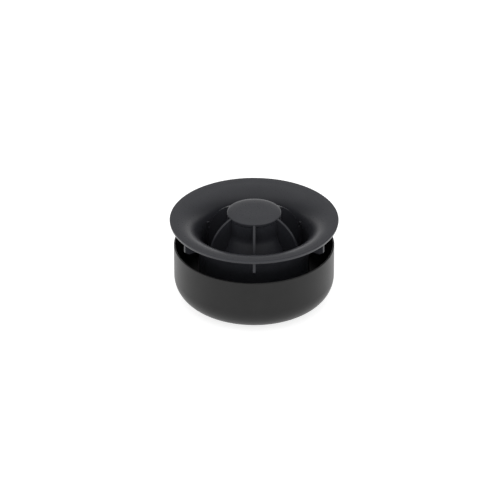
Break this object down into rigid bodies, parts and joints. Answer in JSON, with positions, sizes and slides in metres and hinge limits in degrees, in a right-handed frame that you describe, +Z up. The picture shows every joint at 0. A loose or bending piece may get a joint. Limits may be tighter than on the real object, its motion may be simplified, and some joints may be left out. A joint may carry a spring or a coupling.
{
  "type": "downdraft cooktop extractor inlet",
  "caption": "Round bell-mouth air inlet with a central flow disc on thin vanes, standing on a grease filter in an open round-bottomed cup.",
  "frame": {"origin": "centre of the cup's flat underside", "axes": "+Z up along the axis of the cup, filter and nozzle; one vane points along -Y"},
  "size_m": [0.18, 0.18, 0.1018],
  "materials": {
    "nozzle_plastic": "fine satin texture, blue-black",
    "cup_plastic": "fine matt texture, black",
    "silicone": "matt, soft",
    "mesh_steel": "expanded and rolled",
    "frame_steel": "pressed, brushed",
    "bright_steel": "turned",
    "insert_brass": "turned, knurled"
  },
  "bodies": {
    "cup": {"cup": "cup_plastic"},
    "filter": {"filter_top_frame": "frame_steel", "filter_gasket": "silicone", "filter_mesh_outer": "mesh_steel", "filter_mesh_inner": "mesh_steel", "filter_posts": "bright_steel", "filter_base": "frame_steel", "filter_screws": "bright_steel"},
    "nozzle": {"inlet_ring": "nozzle_plastic", "flange_seal": "silicone", "vane_1": "nozzle_plastic", "vane_2": "nozzle_plastic", "vane_3": "nozzle_plastic", "vane_4": "nozzle_plastic", "vane_5": "nozzle_plastic", "vane_6": "nozzle_plastic", "vane_retainer": "nozzle_plastic", "flow_body": "nozzle_plastic", "vane_carrier": "nozzle_plastic", "hub_base": "nozzle_plastic", "hub_cap": "nozzle_plastic", "cap_gasket": "silicone", "cap_insert": "insert_brass", "clamp_screw": "bright_steel", "clamp_washer": "bright_steel"}
  },
  "joints": [
    {"name": "filter_lift", "type": "slide", "parent": "cup", "child": "filter", "axis": [0, 0, 1], "range_m": [0, 0.07]},
    {"name": "nozzle_lift", "type": "slide", "parent": "filter", "child": "nozzle", "axis": [0, 0, 1], "range_m": [0, 0.08]}
  ]
}
